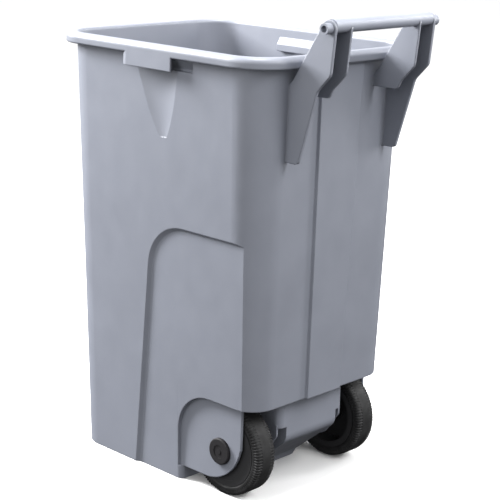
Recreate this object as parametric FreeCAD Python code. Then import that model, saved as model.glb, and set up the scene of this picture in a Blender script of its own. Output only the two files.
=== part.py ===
import FreeCAD, Part
import math
import os

# Wheeled bin with a rear push bar, in millimetres.
# +Z up, +Y to the rear (push bar and wheels), +X to the bin's left side.
# The origin is on the floor, below the centre of the part's bounding box.

V = FreeCAD.Vector
SIDES = {"left": 1, "right": -1}

# ---- driving dimensions ----
SHIFT_Y = -35.5            # moves the bin so that the origin is at its middle
WALL = 4.0                 # thickness of the moulded walls

# Tub: tapered walls, measured on their outer faces at the floor and at the mouth
MOUTH_Z = 730.0
BASE_HALF_X, MOUTH_HALF_X = 163.5, 184.0
BASE_FRONT, MOUTH_FRONT = -203.5, -229.5
BASE_REAR, MOUTH_REAR = 216.5, 229.0
BASE_RADIUS, MOUTH_RADIUS = 44.0, 59.0

# Rolled rim round the mouth
RIM_HALF_X, RIM_HALF_Y, RIM_RADIUS = 199.0, 244.0, 67.0
RIM_HEIGHT, RIM_SKIN, RIM_ROUND, RIM_INNER_ROUND, RIM_FOOT_ROUND = 18.0, 3.5, 9.0, 5.0, 3.0
WALL_TOP_Z = 721.0         # where the plain wall ends inside the rim
OPEN_TOP_Z = 750.0         # the inner space is cut up to here, above the rim

# Recessed lower panel on each side
PANEL_DEPTH = 5.0
PANEL_FOOT_Y, PANEL_HEAD_Y, PANEL_TOP_Z, PANEL_RADIUS = -53.5, -8.5, 435.0, 80.0
STEP_SHARE = 0.41          # sideways growth of a 45 degree step, per mm of inset
BELOW_FLOOR_Z, BEYOND_REAR_Y = -20.0, 300.0   # how far the cutting shapes of the sides reach

# Proud panel down the middle of the rear wall; its flanks run out by FLANK_RUN per mm of rise
PROUD_DEPTH, PROUD_LOW_HALF, PROUD_TOP_HALF, PROUD_ROOT = 5.0, 40.5, 49.5, 3.0
FLANK_RUN, FLANK_SHARE = 0.4, 0.68

# Wheel wells, and the body that goes on between them
LIP_Z, CEILING_Z, WELL_FRONT_Y = 164.0, 171.0, 53.5
WELL_CORNER_RADIUS = 10.0
UPPER_HALF_X, UPPER_REAR_Y, UPPER_FLOOR_Z, UPPER_RADIUS = 80.0, 200.0, 113.0, 12.0
LOWER_HALF_X, LOWER_HEEL_Y, LOWER_TAIL_Z, LOWER_RADIUS = 62.0, 105.0, 88.0, 24.0
HEEL_RUN, HEEL_RISE, HEEL_FOOT_RADIUS, HEEL_HEAD_RADIUS = 8.0, 14.0, 4.0, 6.0
COLUMN_START_Y = 20.0      # where the body between the wells begins, inside the front part

# Lugs that carry the wheels
AXLE_Y, AXLE_Z = 140.0, 78.0
LUG_IN_X, LUG_OUT_X = 149.0, 154.0
LUG_FRONT_Y, LUG_REAR_Y, LUG_BOTTOM_Z, LUG_RADIUS = 45.5, 184.5, 24.0, 80.0
LUG_TOP_Z, LUG_HEAD_RADIUS = 163.0, 73.0
INNER_LUG_IN_X, INNER_LUG_OUT_X, INNER_BOSS_X, INNER_BOSS_R = 76.0, 80.0, 84.0, 15.0
INNER_LUG_FRONT_Y, INNER_LUG_REAR_Y, INNER_LUG_TAIL_Z = 50.5, 194.0, 99.0
INNER_LUG_KNEE_Y, INNER_LUG_BOTTOM_Z, INNER_LUG_TOP_Z = 162.0, 52.0, 119.0
INNER_LUG_KNEE_R, INNER_LUG_TAIL_R = 24.0, 8.0

# Grips under the rim on both sides: a hanging tab, a finger pocket, a tapered scoop
TAB_FRONT_Y, TAB_REAR_Y, TAB_THICK, TAB_BOTTOM_Z, TAB_BEVEL = -62.0, 51.0, 3.5, 691.5, 9.0
POCKET_FRONT_Y, POCKET_REAR_Y, POCKET_LOW_Z, POCKET_TOP_Z = -64.0, 85.0, 692.0, 708.0
POCKET_DEPTH, POCKET_SLOPE, POCKET_LOW_R, POCKET_TOP_R = 8.0, 12.0, 3.0, 1.5
SCOOP_TIP_Z, SCOOP_HEAD_Z, SCOOP_TIP_HALF, SCOOP_HEAD_HALF = 583.0, 698.0, 8.0, 49.0
SCOOP_TIP_Y, SCOOP_HEAD_Y, SCOOP_TIP_DEPTH, SCOOP_HEAD_DEPTH = 17.0, 3.5, 0.9, 7.5

# Handle ears, push bar and its hollow end pins
EAR_OUT_X, EAR_THICK, EAR_WEB_X, EAR_WEB_THICK = 120.0, 5.0, 80.0, 4.0
BAR_Y, BAR_Z, BAR_R, BAR_GAP = 303.0, 780.5, 10.5, 0.2
EAR_TOP_R, EAR_FOOT_Z, EAR_WEB_FOOT_Z = 12.0, 568.0, 669.0
EAR_ROOT_Y, EAR_ROOT_Z, EAR_BACK_Y = 222.0, 680.0, 308.0
EAR_FRONT_Y, EAR_FRONT_Z = 236.0, 695.0
EAR_KNEE_Z, EAR_KNEE_R, EAR_HEAD_RUN, EAR_HEAD_R = 709.0, 14.0, 9.0, 8.0
EAR_FOOT_Y, EAR_FOOT_R, EAR_WAIST_Y, EAR_WAIST_Z, EAR_WAIST_R = 251.0, 7.0, 283.5, 683.0, 18.0
EAR_WEB_FOOT_Y, EAR_WEB_FOOT_R, EAR_WEB_WAIST_R = 277.0, 9.0, 14.0
FRONT_WEB_THICK, FRONT_WEB_HEAD_Z = 6.0, 776.5
HANDLE_PIN_Z, HANDLE_PIN_R, HANDLE_PIN_HEAD_R = 777.5, 5.0, 8.2
HANDLE_PIN_HOLLOW_R, HANDLE_PIN_HOLLOW = 5.2, 8.0
HANDLE_PIN_OUT, HANDLE_PIN_IN = 13.0, 40.0
FIT_GAP = 0.05             # radial gap of every pin in its hole

# Wheels and what they run on
WHEEL_R, WHEEL_IN_X, WHEEL_OUT_X, TYRE_BORE_R = 78.0, 105.0, 147.0, 62.0
TYRE_SHOULDER = 5.0
HUB_IN_X, HUB_R, DISC_IN_X, DISC_OUT_X, FELLOE_R, FELLOE_INSET = 86.0, 17.0, 134.0, 145.5, 52.0, 1.0
PIN_R, PIN_HEAD_R, PIN_HEAD, PIN_IN_X, PIN_GROOVE = 6.0, 10.0, 2.5, 70.0, 1.0
WASHER_R, WASHER_THICK = 12.0, 1.5
CLIP_R, CLIP_THICK, CLIP_X = 10.0, 1.2, 73.0
CLIP_MOUTH, CLIP_GAP = 8.0, 0.1
CAP_R, CAP_THICK, CAP_ROUND, CAP_DISH = 22.5, 5.5, 2.5, 1.0
END_PLAY, SEAT_GAP = 0.3, 0.1   # play of the wheel between its washers; gap below heads and cap
CUT_OVER = 1.0             # how far a cutting shape runs past the face it opens


# ---- outline helpers ----
def corner_arc(before, corner, after, radius):
    """Ends and middle of the arc that rounds a corner, as (u, v) pairs."""
    a = (before[0] - corner[0], before[1] - corner[1])
    b = (after[0] - corner[0], after[1] - corner[1])
    la = math.hypot(*a)
    lb = math.hypot(*b)
    a = (a[0] / la, a[1] / la)
    b = (b[0] / lb, b[1] / lb)
    half = math.acos(a[0] * b[0] + a[1] * b[1]) / 2
    run = radius / math.tan(half)
    start = (corner[0] + a[0] * run, corner[1] + a[1] * run)
    end = (corner[0] + b[0] * run, corner[1] + b[1] * run)
    mid_dir = (a[0] + b[0], a[1] + b[1])
    length = math.hypot(*mid_dir)
    reach = radius / math.sin(half) - radius
    middle = (corner[0] + mid_dir[0] / length * reach, corner[1] + mid_dir[1] / length * reach)
    return start, middle, end


def outline(corners, place):
    """Closed wire through (u, v, radius) corners; place turns (u, v) into a point."""
    count = len(corners)
    stops = []
    for i, (u, v, radius) in enumerate(corners):
        if radius > 0:
            before = corners[i - 1][:2]
            after = corners[(i + 1) % count][:2]
            stops.append(corner_arc(before, (u, v), after, radius))
        else:
            stops.append(((u, v), None, (u, v)))
    edges = []
    for i, (start, middle, end) in enumerate(stops):
        if middle is not None:
            edges.append(Part.Arc(place(*start), place(*middle), place(*end)).toShape())
        following = stops[(i + 1) % count][0]
        if math.dist(end, following) > 1e-6:
            edges.append(Part.makeLine(place(*end), place(*following)))
    return Part.Wire(edges)


def plate_x(corners, x0, x1):
    """Flat plate between x0 and x1; its corners are given as (y, z, radius)."""
    face = Part.Face(outline(corners, lambda y, z: V(x0, y, z)))
    return face.extrude(V(x1 - x0, 0, 0))


def plate_z(corners, z0, z1):
    """Flat plate between z0 and z1; its corners are given as (x, y, radius)."""
    face = Part.Face(outline(corners, lambda x, y: V(x, y, z0)))
    return face.extrude(V(0, 0, z1 - z0))


def cylinder_x(radius, x0, x1, y, z):
    return Part.makeCylinder(radius, x1 - x0, V(x0, y, z), V(1, 0, 0))


def turned(profile, y, z):
    """Solid of revolution about the X direction through (y, z); profile is (x, radius) points."""
    points = [V(x, y, z + r) for x, r in profile]
    face = Part.Face(Part.makePolygon(points + points[:1]))
    return face.revolve(V(0, y, z), V(1, 0, 0), 360)


def mirrored(shape, side):
    return shape if side > 0 else shape.mirror(V(0, 0, 0), V(1, 0, 0))


def save(shape, name):
    moved = shape.copy()
    moved.translate(V(0, SHIFT_Y, 0))
    moved.exportStep("parts/" + name + ".step")


# ---- the tub's tapered walls ----
def taper(low, high, z):
    return low + (high - low) * z / MOUTH_Z


def wall_wire(z, inset):
    """The tub's outline at height z, moved inwards by inset."""
    half_x = taper(BASE_HALF_X, MOUTH_HALF_X, z) - inset
    front = taper(BASE_FRONT, MOUTH_FRONT, z) + inset
    rear = taper(BASE_REAR, MOUTH_REAR, z) - inset
    radius = taper(BASE_RADIUS, MOUTH_RADIUS, z) - inset
    corners = [(half_x, front, radius), (half_x, rear, radius)]
    corners += [(-half_x, rear, radius), (-half_x, front, radius)]
    return outline(corners, lambda x, y: V(x, y, z))


def wall_block(z0, z1, inset):
    return Part.makeLoft([wall_wire(z0, inset), wall_wire(z1, inset)], True, True)


def on_side_wall(shape, inset):
    """Tilts a shape drawn against the plane x = 0 onto the left wall's outer face."""
    tilt = math.degrees(math.atan((MOUTH_HALF_X - BASE_HALF_X) / MOUTH_Z))
    placed = shape.copy()
    placed.rotate(V(0, 0, 0), V(0, 1, 0), tilt)
    placed.translate(V(BASE_HALF_X - inset, 0, 0))
    return placed


def side_panel_cut(inset):
    """What the recessed lower panel takes away from the left wall."""
    def panel_wire(x, grow):
        top = PANEL_TOP_Z + grow
        corners = [(PANEL_FOOT_Y - grow, BELOW_FLOOR_Z, 0), (PANEL_HEAD_Y - grow, top, PANEL_RADIUS)]
        corners += [(BEYOND_REAR_Y, top, 0), (BEYOND_REAR_Y, BELOW_FLOOR_Z, 0)]
        return outline(corners, lambda y, z: V(x, y, z))
    reach = 12.0
    low = STEP_SHARE * inset
    high = low + PANEL_DEPTH + reach
    tool = Part.makeLoft([panel_wire(-PANEL_DEPTH, low), panel_wire(reach, high)], True, True)
    return on_side_wall(tool, inset)


def lug_recess_cut(inset):
    """What the deeper recess above and in front of the outer lug takes away."""
    reach, far = 20.0, BEYOND_REAR_Y
    front = LUG_FRONT_Y - inset
    top = LUG_TOP_Z + inset
    corners = [(front, LUG_BOTTOM_Z, 0), (front, top, LUG_HEAD_RADIUS)]
    corners += [(far, top, 0), (far, LUG_BOTTOM_Z, 0)]
    return plate_x(corners, LUG_OUT_X - inset, LUG_OUT_X - inset + reach)


def grip_cuts(inset):
    """Tapered scoop and finger pocket in the left wall, below the rim."""
    reach = 20.0
    def scoop_wire(share):
        z = SCOOP_TIP_Z + (SCOOP_HEAD_Z - SCOOP_TIP_Z) * share
        middle = SCOOP_TIP_Y + (SCOOP_HEAD_Y - SCOOP_TIP_Y) * share
        half = SCOOP_TIP_HALF + (SCOOP_HEAD_HALF - SCOOP_TIP_HALF) * share ** 0.75
        depth = SCOOP_TIP_DEPTH + (SCOOP_HEAD_DEPTH - SCOOP_TIP_DEPTH) * share
        left = V(0, middle - half, z)
        right = V(0, middle + half, z)
        arc = Part.Arc(left, V(-depth, middle, z), right).toShape()
        far = [right, V(reach, middle + half, z), V(reach, middle - half, z), left]
        return Part.Wire([arc] + Part.makePolygon(far).Edges)
    scoop = Part.makeLoft([scoop_wire(share) for share in (0.0, 0.25, 0.6, 1.0)], True, False)
    low, high = POCKET_LOW_Z - inset, POCKET_TOP_Z + inset
    near, far = POCKET_FRONT_Y - inset, POCKET_REAR_Y + inset
    def pocket_wire(x, top):
        corners = [(near, low, POCKET_LOW_R), (near, top, POCKET_TOP_R)]
        corners += [(far, top, POCKET_TOP_R), (far, low, POCKET_LOW_R)]
        return outline(corners, lambda y, z: V(x, y, z))
    deep = [pocket_wire(-POCKET_DEPTH, high - POCKET_SLOPE), pocket_wire(0, high)]
    straight = [pocket_wire(0, high), pocket_wire(reach, high)]
    pocket = Part.makeLoft(deep, True, True).fuse(Part.makeLoft(straight, True, True))
    return [on_side_wall(scoop, inset), on_side_wall(pocket.removeSplitter(), inset)]


def proud_panel(inset):
    """Raised panel down the middle of the rear wall, with steep flanks."""
    def section(z):
        rear = taper(BASE_REAR, MOUTH_REAR, z) - inset
        share = (z - LIP_Z) / (MOUTH_Z - LIP_Z)
        half = PROUD_LOW_HALF + (PROUD_TOP_HALF - PROUD_LOW_HALF) * share - FLANK_SHARE * inset
        spread = (PROUD_DEPTH + PROUD_ROOT) * FLANK_RUN
        points = [V(-half - spread, rear - PROUD_ROOT, z), V(-half, rear + PROUD_DEPTH, z)]
        points += [V(half, rear + PROUD_DEPTH, z), V(half + spread, rear - PROUD_ROOT, z)]
        return Part.makePolygon(points + points[:1])
    low = LIP_Z if inset == 0 else CEILING_Z + inset
    high = WALL_TOP_Z if inset == 0 else OPEN_TOP_Z
    return Part.makeLoft([section(low), section(high)], True, True)


def rear_column(inset):
    """The body between the wheel wells: a wider upper part over a sloping lower part."""
    half = UPPER_HALF_X - inset
    rear = UPPER_REAR_Y - inset
    radius = UPPER_RADIUS - inset / 2
    start = COLUMN_START_Y
    corners = [(half, start, 0), (half, rear, radius), (-half, rear, radius), (-half, start, 0)]
    upper = plate_z(corners, UPPER_FLOOR_Z + inset, CEILING_Z + WALL + CUT_OVER)
    heel = LOWER_HEEL_Y - inset
    low = [(start, inset, 0), (heel, inset, HEEL_FOOT_RADIUS)]
    low += [(heel + HEEL_RUN, HEEL_RISE + inset, HEEL_HEAD_RADIUS)]
    low += [(rear, LOWER_TAIL_Z + inset, LOWER_RADIUS), (rear, CEILING_Z, 0), (start, CEILING_Z, 0)]
    lower = plate_x(low, -LOWER_HALF_X + inset, LOWER_HALF_X - inset)
    return upper.fuse(lower)


def front_base(inset):
    """The part that stands on the floor, in front of the wheel wells."""
    block = wall_block(inset, CEILING_Z + inset + CUT_OVER, inset)
    rear = WELL_FRONT_Y - inset
    block = block.common(Part.makeBox(600, 600, 600, V(-300, rear - 600, -100)))
    block = block.cut(side_panel_cut(inset))
    heel = [e for e in block.Edges if e.BoundBox.YMin > rear - 1e-3 and e.BoundBox.ZLength > 100]
    return block.makeFillet(WELL_CORNER_RADIUS - inset, heel)


def envelope(inset):
    """Everything inside the tub's outer faces, or inside its inner faces when inset by WALL."""
    top = WALL_TOP_Z if inset == 0 else OPEN_TOP_Z
    upper = wall_block(CEILING_Z + inset, top, inset)
    body = upper.fuse([front_base(inset), rear_column(inset), proud_panel(inset)])
    for tool in [side_panel_cut(inset), lug_recess_cut(inset)] + grip_cuts(inset):
        body = body.cut(tool)
    return body


# ---- features fused to the tub ----
def rim():
    """Rolled rim: a rounded hollow bead, open underneath, round the top of the walls."""
    def rounded(inset, z0, z1):
        half_x = RIM_HALF_X - inset
        half_y = RIM_HALF_Y - inset
        radius = RIM_RADIUS - inset
        corners = [(half_x, -half_y, radius), (half_x, half_y, radius)]
        corners += [(-half_x, half_y, radius), (-half_x, -half_y, radius)]
        return plate_z(corners, z0, z1)
    low = MOUTH_Z - RIM_HEIGHT
    bead = rounded(0, low, MOUTH_Z)
    top_edges = [e for e in bead.Edges if abs(e.BoundBox.ZMin - MOUTH_Z) < 1e-3]
    bead = bead.makeFillet(RIM_ROUND, top_edges)
    low_edges = [e for e in bead.Edges if abs(e.BoundBox.ZMax - low) < 1e-3]
    bead = bead.makeFillet(RIM_FOOT_ROUND, low_edges)
    bead = bead.cut(wall_block(low - CUT_OVER, MOUTH_Z + CUT_OVER, WALL))
    inner_edges = [e for e in bead.Edges if abs(e.BoundBox.ZMin - MOUTH_Z) < 1e-3]
    inner_edges = [e for e in inner_edges if abs(e.BoundBox.XMax) < MOUTH_HALF_X - WALL + 0.5]
    inner_edges = [e for e in inner_edges if e.BoundBox.YMax < MOUTH_REAR - WALL + 0.5]
    inner_edges = [e for e in inner_edges if e.BoundBox.YMin > MOUTH_FRONT + WALL - 0.5]
    bead = bead.makeFillet(RIM_INNER_ROUND, inner_edges)
    hollow = rounded(RIM_SKIN, low - CUT_OVER, WALL_TOP_Z)
    return bead.cut(hollow.cut(wall_block(low - 2 * CUT_OVER, WALL_TOP_Z + CUT_OVER, 0)))


def grip_tab():
    """Tab that hangs from the left rim's outer face, bevelled on its front side."""
    inner = RIM_HALF_X - TAB_THICK
    top = MOUTH_Z - RIM_ROUND
    corners = [(inner, TAB_FRONT_Y, 0), (RIM_HALF_X, TAB_FRONT_Y + TAB_BEVEL, 0)]
    corners += [(RIM_HALF_X, TAB_REAR_Y, 1.0), (inner, TAB_REAR_Y, 0)]
    return plate_z(corners, TAB_BOTTOM_Z, top)


def lip():
    """Skirt round the rear of the wells, below their ceiling."""
    top = CEILING_Z + WALL
    ring = wall_block(LIP_Z, top, 0).cut(wall_block(LIP_Z - CUT_OVER, top + CUT_OVER, WALL))
    ring = ring.common(Part.makeBox(500, 200, 60, V(-250, AXLE_Y, LIP_Z - 10)))
    return ring.cut(side_panel_cut(0))


def outer_lug():
    """Left outer lug: a plate with a broad round corner, set in from the side panel."""
    top = CEILING_Z + WALL / 2
    corners = [(LUG_FRONT_Y, top, 0), (LUG_FRONT_Y, LUG_BOTTOM_Z, 0)]
    corners += [(LUG_REAR_Y, LUG_BOTTOM_Z, LUG_RADIUS), (LUG_REAR_Y, top, 0)]
    slab = plate_x(corners, LUG_IN_X, LUG_OUT_X)
    low = LUG_TOP_Z - LUG_HEAD_RADIUS
    shoulder = plate_x([(LUG_FRONT_Y, low, 0), (LUG_FRONT_Y, top, 0), (LUG_REAR_Y, top, 0),
                        (LUG_REAR_Y, low, 0)], LUG_IN_X, MOUTH_HALF_X)
    shoulder = shoulder.common(wall_block(0, top + CUT_OVER, 0))
    shoulder = shoulder.cut([side_panel_cut(0), lug_recess_cut(0)])
    return slab.fuse(shoulder)


def inner_lug():
    """Left inner lug: a thin plate below the rear column's side, with a round boss."""
    corners = [(INNER_LUG_FRONT_Y, INNER_LUG_TOP_Z, 0), (INNER_LUG_FRONT_Y, INNER_LUG_BOTTOM_Z, 0)]
    corners += [(INNER_LUG_KNEE_Y, INNER_LUG_BOTTOM_Z, INNER_LUG_KNEE_R)]
    corners += [(INNER_LUG_REAR_Y, INNER_LUG_TAIL_Z, INNER_LUG_TAIL_R)]
    corners += [(INNER_LUG_REAR_Y, INNER_LUG_TOP_Z, 0)]
    plate = plate_x(corners, INNER_LUG_IN_X, INNER_LUG_OUT_X)
    boss = cylinder_x(INNER_BOSS_R, INNER_LUG_IN_X, INNER_BOSS_X, AXLE_Y, AXLE_Z)
    return plate.fuse(boss)


def ear_corners(foot):
    """Side outline of an ear's plate: its foot, S-shaped back edge, round top, sloping front edge."""
    top_z = HANDLE_PIN_Z + EAR_TOP_R
    back = [(EAR_BACK_Y, EAR_KNEE_Z, EAR_KNEE_R), (BAR_Y + EAR_TOP_R, top_z, EAR_TOP_R - FIT_GAP)]
    front = [(BAR_Y - EAR_HEAD_RUN, top_z, EAR_HEAD_R), (EAR_FRONT_Y, EAR_FRONT_Z, 0)]
    return foot + back + front + [(EAR_ROOT_Y, EAR_ROOT_Z, 0)]


def ear():
    """Left ear: a long outer plate and a short inner plate joined by a front web."""
    long_foot = [(EAR_ROOT_Y, EAR_FOOT_Z, 0), (EAR_FOOT_Y, EAR_FOOT_Z, EAR_FOOT_R)]
    long_foot += [(EAR_WAIST_Y, EAR_WAIST_Z, EAR_WAIST_R)]
    short_foot = [(EAR_ROOT_Y, EAR_WEB_FOOT_Z, 0), (EAR_WEB_FOOT_Y, EAR_WEB_FOOT_Z, EAR_WEB_FOOT_R)]
    short_foot += [(EAR_WAIST_Y, EAR_WAIST_Z, EAR_WEB_WAIST_R)]
    outer = plate_x(ear_corners(long_foot), EAR_OUT_X - EAR_THICK, EAR_OUT_X)
    inner = plate_x(ear_corners(short_foot), EAR_WEB_X, EAR_WEB_X + EAR_WEB_THICK)
    inner = inner.cut(Part.makeBox(60, 100, 60, V(EAR_WEB_X - 10, BAR_Y - 60, BAR_Z - 1)))
    lean = (BAR_Y - EAR_TOP_R - EAR_FRONT_Y) / (BAR_Z + 4 - EAR_FRONT_Z)
    foot_z = EAR_FRONT_Z - 5
    foot_y = EAR_FRONT_Y + (foot_z - EAR_FRONT_Z) * lean
    head_z = FRONT_WEB_HEAD_Z
    head_y = EAR_FRONT_Y + (head_z - EAR_FRONT_Z) * lean
    web = [(foot_y, foot_z, 0), (foot_y + FRONT_WEB_THICK, foot_z, 0)]
    web += [(head_y + FRONT_WEB_THICK, head_z, 0), (head_y, head_z, 0)]
    front = plate_x(web, EAR_WEB_X, EAR_OUT_X - CUT_OVER)
    seat = cylinder_x(BAR_R + BAR_GAP, 0, EAR_OUT_X - EAR_THICK, BAR_Y, BAR_Z)
    return outer.fuse(inner.fuse(front).cut(seat))


def tub():
    """The whole moulding: its left half, with every feature, and the mirror of that half."""
    solid = envelope(0).fuse([rim(), lip(), grip_tab(), outer_lug(), inner_lug(), ear()])
    solid = solid.cut(envelope(WALL))
    axle_bore = cylinder_x(PIN_R + FIT_GAP, INNER_LUG_IN_X - 5, LUG_OUT_X + 20, AXLE_Y, AXLE_Z)
    handle_bore = cylinder_x(HANDLE_PIN_R + FIT_GAP, EAR_OUT_X - EAR_THICK - 5, EAR_OUT_X + 5,
                             BAR_Y, HANDLE_PIN_Z)
    solid = solid.cut([axle_bore, handle_bore])
    half = solid.common(Part.makeBox(400, 1000, 1000, V(0, -500, -50)))
    return half.fuse(mirrored(half, -1)).removeSplitter()


# ---- handle ----
def handle_bar():
    """Push bar, bored through along the line of its end pins, a little below its middle."""
    half = EAR_OUT_X - EAR_THICK - BAR_GAP
    outer = cylinder_x(BAR_R, -half, half, BAR_Y, BAR_Z)
    return outer.cut(cylinder_x(HANDLE_PIN_R + FIT_GAP, -half - 1, half + 1, BAR_Y, HANDLE_PIN_Z))


def handle_pin():
    """Left end pin: pushed through the ear into the bar, its hollow head left standing out."""
    x0, x1 = EAR_OUT_X - HANDLE_PIN_IN, EAR_OUT_X + HANDLE_PIN_OUT
    shank = cylinder_x(HANDLE_PIN_R, x0, x1, BAR_Y, HANDLE_PIN_Z)
    head = cylinder_x(HANDLE_PIN_HEAD_R, EAR_OUT_X + BAR_GAP, x1, BAR_Y, HANDLE_PIN_Z)
    pin = shank.fuse(head).removeSplitter()
    return pin.cut(cylinder_x(HANDLE_PIN_HOLLOW_R, x1 - HANDLE_PIN_HOLLOW, x1 + 1, BAR_Y, HANDLE_PIN_Z))


# ---- wheels ----
def tyre():
    """Left tyre: rounded shoulders on a flat tread."""
    body = cylinder_x(WHEEL_R, WHEEL_IN_X, WHEEL_OUT_X, AXLE_Y, AXLE_Z)
    body = body.makeFillet(TYRE_SHOULDER, [e for e in body.Edges if e.Curve.TypeId == "Part::GeomCircle"])
    return body.cut(cylinder_x(TYRE_BORE_R, WHEEL_IN_X - 1, WHEEL_OUT_X + 1, AXLE_Y, AXLE_Z))


def wheel_hub():
    """Left wheel's hard centre: felloe, solid disc and long hub."""
    bore = PIN_R + FIT_GAP
    x0, x1 = WHEEL_IN_X + FELLOE_INSET, WHEEL_OUT_X - FELLOE_INSET
    profile = [(HUB_IN_X, bore), (WHEEL_OUT_X, bore), (WHEEL_OUT_X, HUB_R), (DISC_OUT_X, HUB_R)]
    profile += [(DISC_OUT_X, FELLOE_R), (x1, FELLOE_R), (x1, TYRE_BORE_R), (x0, TYRE_BORE_R)]
    profile += [(x0, FELLOE_R), (DISC_IN_X, FELLOE_R), (DISC_IN_X, HUB_R), (HUB_IN_X, HUB_R)]
    return turned(profile, AXLE_Y, AXLE_Z)


def axle_pin():
    """Left axle pin: headed outside the outer lug, clipped inside the inner lug."""
    shaft = cylinder_x(PIN_R, PIN_IN_X, LUG_OUT_X + PIN_HEAD, AXLE_Y, AXLE_Z)
    head = cylinder_x(PIN_HEAD_R, LUG_OUT_X + SEAT_GAP, LUG_OUT_X + PIN_HEAD, AXLE_Y, AXLE_Z)
    x0, x1 = CLIP_X, CLIP_X + CLIP_THICK + 2 * CLIP_GAP
    groove = cylinder_x(PIN_R + CUT_OVER, x0, x1, AXLE_Y, AXLE_Z)
    groove = groove.cut(cylinder_x(PIN_R - PIN_GROOVE, x0 - CUT_OVER, x1 + CUT_OVER, AXLE_Y, AXLE_Z))
    return shaft.fuse(head).cut(groove).removeSplitter()


def washer(x0):
    """Left thrust washer on the axle pin, its inner face at x0."""
    x1 = x0 + WASHER_THICK
    ring = cylinder_x(WASHER_R, x0, x1, AXLE_Y, AXLE_Z)
    return ring.cut(cylinder_x(PIN_R + FIT_GAP, x0 - CUT_OVER, x1 + CUT_OVER, AXLE_Y, AXLE_Z))


def retaining_clip():
    """Left open ring that snaps into the pin's groove."""
    x0, x1 = CLIP_X + CLIP_GAP, CLIP_X + CLIP_GAP + CLIP_THICK
    ring = cylinder_x(CLIP_R, x0, x1, AXLE_Y, AXLE_Z)
    bore_r = PIN_R - PIN_GROOVE + FIT_GAP
    ring = ring.cut(cylinder_x(bore_r, x0 - CUT_OVER, x1 + CUT_OVER, AXLE_Y, AXLE_Z))
    corner = V(x0 - CUT_OVER, AXLE_Y - CLIP_MOUTH / 2, AXLE_Z - CLIP_R - CUT_OVER)
    return ring.cut(Part.makeBox(CLIP_THICK + 2 * CUT_OVER, CLIP_MOUTH, CLIP_R + CUT_OVER, corner))


def axle_cap():
    """Left black cap: a shallow round cover over the pin's head."""
    x0, x1 = LUG_OUT_X + SEAT_GAP, LUG_OUT_X + SEAT_GAP + CAP_THICK
    disc = cylinder_x(CAP_R, x0, x1, AXLE_Y, AXLE_Z)
    disc = disc.makeFillet(CAP_ROUND, [e for e in disc.Edges if abs(e.BoundBox.XMin - x1) < 1e-3])
    seat_x = LUG_OUT_X + PIN_HEAD + SEAT_GAP
    disc = disc.cut(cylinder_x(PIN_HEAD_R + FIT_GAP, x0 - CUT_OVER, seat_x, AXLE_Y, AXLE_Z))
    dish = cylinder_x(CAP_R / 2, x1 - CAP_DISH, x1 + CUT_OVER, AXLE_Y, AXLE_Z)
    button = cylinder_x(CAP_R / 5, x1 - 2 * CAP_DISH, x1 + 2 * CUT_OVER, AXLE_Y, AXLE_Z)
    return disc.cut(dish.cut(button))


def main():
    save(tub(), "tub")
    save(handle_bar(), "handle_bar")
    outer_washer_x = WHEEL_OUT_X + END_PLAY
    inner_washer_x = HUB_IN_X - END_PLAY - WASHER_THICK
    paired = {
        "handle_pin": handle_pin(),
        "tyre": tyre(),
        "wheel_hub": wheel_hub(),
        "axle_pin": axle_pin(),
        "outer_washer": washer(outer_washer_x),
        "inner_washer": washer(inner_washer_x),
        "retaining_clip": retaining_clip(),
        "axle_cap": axle_cap(),
    }
    for name, shape in paired.items():
        for side_name, side in SIDES.items():
            save(mirrored(shape, side), side_name + "_" + name)


main()
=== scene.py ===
import math

import bmesh
import bpy
from mathutils import Matrix, Vector


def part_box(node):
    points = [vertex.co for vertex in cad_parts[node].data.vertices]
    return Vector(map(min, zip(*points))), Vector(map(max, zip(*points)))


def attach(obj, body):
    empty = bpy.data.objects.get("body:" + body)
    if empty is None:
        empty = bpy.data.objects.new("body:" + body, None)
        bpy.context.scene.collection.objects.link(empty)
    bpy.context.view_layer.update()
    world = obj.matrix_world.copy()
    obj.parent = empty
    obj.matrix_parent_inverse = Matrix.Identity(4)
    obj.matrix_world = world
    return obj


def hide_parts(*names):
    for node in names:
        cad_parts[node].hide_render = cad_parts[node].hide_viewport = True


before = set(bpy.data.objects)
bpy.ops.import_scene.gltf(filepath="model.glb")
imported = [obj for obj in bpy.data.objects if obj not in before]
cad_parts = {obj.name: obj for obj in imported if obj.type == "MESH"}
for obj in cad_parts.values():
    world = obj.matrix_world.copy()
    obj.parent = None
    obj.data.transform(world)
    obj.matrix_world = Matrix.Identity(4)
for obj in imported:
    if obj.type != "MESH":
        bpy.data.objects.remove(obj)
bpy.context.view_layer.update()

# ---- view of the object ----
AZIMUTH, ELEVATION, ROLL = math.radians(134.19), math.radians(15.2), math.radians(1.68)
AIM = Vector((0.0, -0.0355, 0.3468))
DISTANCE, LENS = 2.4555, 102.3
SHIFT_X, SHIFT_Y = 0.0388, 0.0185

SENSOR_WIDTH = 36.0

# ---- studio ----
WORLD_STRENGTH, UNDER_HORIZON = 1.05, 0.05
HORIZON_BAND = (-0.14, -0.05)  # height of the view direction over which the world goes dark
FLOOR_SIZE, FLOOR_ALBEDO, FLOOR_ROUGHNESS = 30.0, 0.93, 0.7
LAMP_AIM = (0.0, 0.0, 0.38)

# ---- colours ----
GREY = (0.212, 0.225, 0.265)
BAR_SHADE, PIN_SHADE = 1.3, 1.1
RUBBER = (0.016, 0.016, 0.0166)
TUB_ROUNDING = 0.0025
NOISE_ROUGHNESS = 0.55
BEVEL_SAMPLES = 8

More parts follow.
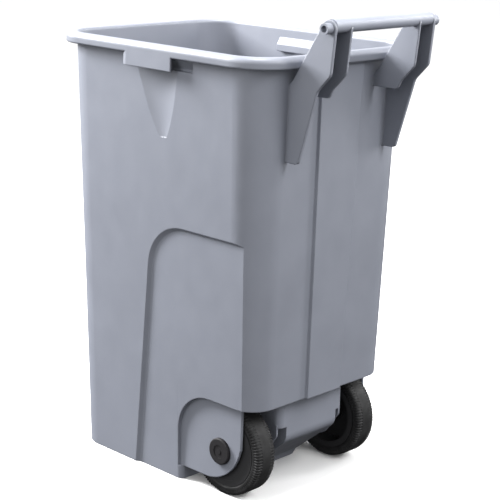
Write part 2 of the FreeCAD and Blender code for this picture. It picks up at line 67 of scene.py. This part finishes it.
# ---- wheel detail ----
GROOVES = 96
STEPS_PER_GROOVE = 6
CUT_SHARE = 0.34  # share of a groove's pitch that is cut away
GROOVE_DEPTH = 0.0010
SHOULDER = 0.005
SHOULDER_STEPS = 4
TYRE_BORE = 0.0621
BORE_RUN, BORE_RISE = 0.002, 0.003
WALL_CUT_START, WALL_CUT_FULL = 0.0105, 0.0085  # below the tread, on the side wall
TREAD_CUT_THIN, TREAD_CUT_END = 0.010, 0.012  # in from the side, on the tread
THIN_SHARE = 0.7


# ---- node helpers ----
def new_material(name, color, roughness):
    """A principled material; its uniform values sit on the shader's own sockets."""
    mat = bpy.data.materials.new(name)
    mat.use_nodes = True
    shader = mat.node_tree.nodes["Principled BSDF"]
    shader.inputs["Base Color"].default_value = (*color, 1.0)
    shader.inputs["Roughness"].default_value = roughness
    return mat, shader


def add_node(mat, kind, **values):
    node = mat.node_tree.nodes.new(kind)
    for key, value in values.items():
        node.inputs[key].default_value = value
    return node


def link(mat, source, target):
    mat.node_tree.links.new(source, target)


def noise(mat, scale, detail):
    coords = add_node(mat, "ShaderNodeTexCoord")
    node = add_node(mat, "ShaderNodeTexNoise", Scale=scale, Detail=detail, Roughness=NOISE_ROUGHNESS)
    link(mat, coords.outputs["Object"], node.inputs["Vector"])
    return node.outputs["Fac"]


def ramp(mat, source, stops):
    """Colour ramp over source; stops are (position, colour or grey value)."""
    node = add_node(mat, "ShaderNodeValToRGB")
    elements = node.color_ramp.elements
    while len(elements) < len(stops):
        elements.new(0.5)
    for element, (place, value) in zip(elements, stops):
        element.position = place
        element.color = (*value, 1.0) if isinstance(value, tuple) else (value, value, value, 1.0)
    link(mat, source, node.inputs["Fac"])
    return node.outputs["Color"]


def bump(mat, shader, source, strength, distance, rounding=None):
    """Fine relief; rounding is the radius over which edges between faces are softened."""
    node = add_node(mat, "ShaderNodeBump", Strength=strength, Distance=distance)
    link(mat, source, node.inputs["Height"])
    if rounding:
        edge = add_node(mat, "ShaderNodeBevel", Radius=rounding)
        edge.samples = BEVEL_SAMPLES
        link(mat, edge.outputs["Normal"], node.inputs["Normal"])
    link(mat, node.outputs["Normal"], shader.inputs["Normal"])


def shade(color, factor):
    return tuple(c * factor for c in color)


# ---- materials ----
def moulded_plastic(name, color, roughness, rounding=None, specular=0.5, grain=900.0, mottling=0.05):
    """Injection-moulded plastic: faint cloudy colour, fine grain, slightly uneven gloss."""
    mat, shader = new_material(name, color, roughness)
    shader.inputs["Specular IOR Level"].default_value = specular
    cloud = noise(mat, scale=9.0, detail=5.0)
    tint = ramp(mat, cloud, [(0.3, shade(color, 1 - mottling)), (0.7, shade(color, 1 + mottling))])
    link(mat, tint, shader.inputs["Base Color"])
    wear = noise(mat, scale=35.0, detail=6.0)
    gloss = ramp(mat, wear, [(0.3, roughness - 0.06), (0.7, roughness + 0.07)])
    link(mat, gloss, shader.inputs["Roughness"])
    bump(mat, shader, noise(mat, grain, detail=2.0), strength=0.12, distance=0.0004, rounding=rounding)
    return mat


def tyre_rubber():
    """Dusty rubber: dull, with blotches of paler dust and a rough fine grain."""
    mat, shader = new_material("tyre_rubber", RUBBER, 0.62)
    shader.inputs["Specular IOR Level"].default_value = 0.25
    blotches = noise(mat, scale=45.0, detail=8.0)
    dust = ramp(mat, blotches, [(0.35, shade(RUBBER, 0.8)), (0.75, shade(RUBBER, 1.9))])
    link(mat, dust, shader.inputs["Base Color"])
    gloss = ramp(mat, noise(mat, scale=120.0, detail=5.0), [(0.3, 0.52), (0.7, 0.74)])
    link(mat, gloss, shader.inputs["Roughness"])
    bump(mat, shader, noise(mat, scale=1400.0, detail=3.0), strength=0.25, distance=0.0004)
    return mat


def plated_steel(name, color):
    """Plated metal with faint uneven gloss."""
    mat, shader = new_material(name, color, 0.32)
    shader.inputs["Metallic"].default_value = 1.0
    gloss = ramp(mat, noise(mat, scale=160.0, detail=6.0), [(0.3, 0.24), (0.7, 0.42)])
    link(mat, gloss, shader.inputs["Roughness"])
    bump(mat, shader, noise(mat, scale=700.0, detail=3.0), strength=0.1, distance=0.0003)
    return mat


def dress(material, *names):
    for name in names:
        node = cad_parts[name]
        node.data.materials.clear()
        node.data.materials.append(material)


def both(name):
    return ["left_" + name, "right_" + name]


# ---- tyres ----
def tyre_profile(width, outer, bore):
    """(across, radius, tread share, shoulder share) points round the tyre's section."""
    half = width / 2
    points = [(-half + BORE_RUN, bore, 0, 0), (-half, bore + BORE_RISE, 0, 0)]
    points += [(-half, outer - WALL_CUT_START, 0, 0), (-half, outer - WALL_CUT_FULL, 0, 1)]
    points.append((-half, outer - SHOULDER, 0, 1))
    for i in range(1, SHOULDER_STEPS + 1):
        turn = math.pi / 2 * i / SHOULDER_STEPS
        across = -half + SHOULDER * (1 - math.cos(turn))
        points.append((across, outer - SHOULDER * (1 - math.sin(turn)), i / SHOULDER_STEPS, 1))
    points += [(-half + TREAD_CUT_THIN, outer, 1, THIN_SHARE), (-half + TREAD_CUT_END, outer, 1, 0)]
    mirrored = [(-a, r, t, s) for a, r, t, s in reversed(points)]
    return points + mirrored


def build_tyre(name):
    """Closed ring in the CAD tyre's box; the grooves of its two sides are half a pitch apart."""
    low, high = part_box(name)
    centre = (low + high) / 2
    width = high.x - low.x
    outer = (high.z - low.z) / 2
    profile = tyre_profile(width, outer, TYRE_BORE)
    mesh = bmesh.new()
    count = GROOVES * STEPS_PER_GROOVE
    rings = []
    for i in range(count):
        phase = (i % STEPS_PER_GROOVE) / STEPS_PER_GROOVE
        ring = []
        for a, r, tread, shoulder in profile:
            side_phase = phase if a < 0 else (phase + 0.5) % 1.0
            cut = 1.0 if side_phase < CUT_SHARE else 0.0
            depth = cut * shoulder * GROOVE_DEPTH
            turn = 2 * math.pi * i / count
            across = a - math.copysign(depth, a) * (1.0 - tread)
            radius = r - depth if tread > 0 else r
            ring.append(mesh.verts.new((centre.x + across, centre.y + radius * math.cos(turn),
                                        centre.z + radius * math.sin(turn))))
        rings.append(ring)
    for i, ring in enumerate(rings):
        following = rings[(i + 1) % count]
        for j in range(len(profile)):
            k = (j + 1) % len(profile)
            mesh.faces.new((ring[j], ring[k], following[k], following[j]))
    bmesh.ops.recalc_face_normals(mesh, faces=mesh.faces)
    data = bpy.data.meshes.new(name + "_tread")
    mesh.to_mesh(data)
    mesh.free()
    tyre = bpy.data.objects.new(name + "_tread", data)
    bpy.context.scene.collection.objects.link(tyre)
    return tyre


def build_wheels():
    rubber = tyre_rubber()
    for side in ("left", "right"):
        tyre = build_tyre(side + "_tyre")
        tyre.data.materials.append(rubber)
        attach(tyre, side + "_wheel")
        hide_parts(side + "_tyre")


# ---- studio ----
def build_floor():
    """Pale floor that gives the object no bounce light, so that its underside stays dark."""
    bpy.ops.mesh.primitive_plane_add(size=FLOOR_SIZE, location=(0, 0, 0))
    floor = bpy.context.object
    floor.name = "floor"
    mat = new_material("floor_white", (FLOOR_ALBEDO,) * 3, FLOOR_ROUGHNESS)[0]
    floor.data.materials.append(mat)
    floor.visible_diffuse = False
    floor.visible_glossy = False


def area_light(name, place, size, power, aim=LAMP_AIM):
    data = bpy.data.lights.new(name, "AREA")
    data.shape = "RECTANGLE"
    data.size, data.size_y = size
    data.energy = power
    light = bpy.data.objects.new(name, data)
    bpy.context.scene.collection.objects.link(light)
    light.location = place
    light.rotation_euler = (Vector(aim) - Vector(place)).to_track_quat("-Z", "Y").to_euler()


def build_lights():
    """Even white world that is dark below the horizon, with five soft lamps."""
    world = bpy.data.worlds.new("studio")
    bpy.context.scene.world = world
    world.use_nodes = True
    background = world.node_tree.nodes["Background"]
    background.inputs["Strength"].default_value = WORLD_STRENGTH
    sky = add_node(world, "ShaderNodeTexCoord")
    height = add_node(world, "ShaderNodeSeparateXYZ")
    link(world, sky.outputs["Generated"], height.inputs["Vector"])
    glow = world.node_tree.nodes.new("ShaderNodeMapRange")
    for socket, value in zip(("From Min", "From Max", "To Min"), (*HORIZON_BAND, UNDER_HORIZON)):
        glow.inputs[socket].default_value = value
    link(world, height.outputs["Z"], glow.inputs["Value"])
    link(world, glow.outputs["Result"], background.inputs["Color"])
    area_light("key_left", place=(0.95, -2.1, 1.8), size=(0.7, 1.2), power=208, aim=(0.1, 0.0, 0.55))
    area_light("soft_left", place=(2.6, -0.2, 1.3), size=(1.2, 1.4), power=15, aim=(0.0, 0.0, 0.45))
    area_light("fill_rear", place=(-0.4, 2.2, 2.3), size=(0.7, 1.2), power=48, aim=(0.0, 0.1, 0.5))
    area_light("rim_right", place=(-2.3, 1.0, 1.3), size=(0.5, 1.4), power=38, aim=(0.0, 0.1, 0.45))
    area_light("top", place=(0.0, 0.1, 4.5), size=(1.0, 1.0), power=190)
    bpy.context.scene.view_settings.view_transform = "Standard"


def build_camera():
    """Camera on a sphere round AIM, turned by ROLL about its own line of sight."""
    data = bpy.data.cameras.new("camera")
    data.lens = LENS
    data.sensor_width = SENSOR_WIDTH
    data.shift_x, data.shift_y = SHIFT_X, SHIFT_Y
    camera = bpy.data.objects.new("camera", data)
    bpy.context.scene.collection.objects.link(camera)
    back = Vector((math.sin(AZIMUTH) * math.cos(ELEVATION), -math.cos(AZIMUTH) * math.cos(ELEVATION),
                   math.sin(ELEVATION)))
    level_right = Vector((0, 0, 1)).cross(back).normalized()
    level_up = back.cross(level_right)
    right = level_right * math.cos(ROLL) + level_up * math.sin(ROLL)
    up = level_up * math.cos(ROLL) - level_right * math.sin(ROLL)
    turn = Matrix((right, up, back)).transposed().to_4x4()
    camera.matrix_world = Matrix.Translation(AIM + back * DISTANCE) @ turn
    bpy.context.scene.camera = camera


# ---- the scene ----
build_camera()
build_lights()
build_floor()
dress(moulded_plastic("tub_grey", GREY, 0.42, TUB_ROUNDING), "tub")
dress(moulded_plastic("bar_grey", shade(GREY, BAR_SHADE), 0.36), "handle_bar")
dress(moulded_plastic("pin_grey", shade(GREY, PIN_SHADE), 0.4), *both("handle_pin"))
# hub: near-black plastic, part real colour and part painted light; lightened above the rubber's tone
# to lift the shade the lug casts on the wheel face
dress(moulded_plastic("hub_black_with_painted_light", (0.030, 0.030, 0.032), 0.55, specular=0.3), *both("wheel_hub"))
dress(moulded_plastic("cap_black", (0.022, 0.021, 0.023), 0.55, specular=0.2), *both("axle_cap"))
washers = both("outer_washer") + both("inner_washer")
dress(moulded_plastic("washer_nylon", (0.55, 0.55, 0.52), 0.4), *washers)
dress(plated_steel("pin_steel", (0.62, 0.62, 0.60)), *both("axle_pin"))
dress(plated_steel("clip_steel", (0.30, 0.30, 0.32)), *both("retaining_clip"))
build_wheels()
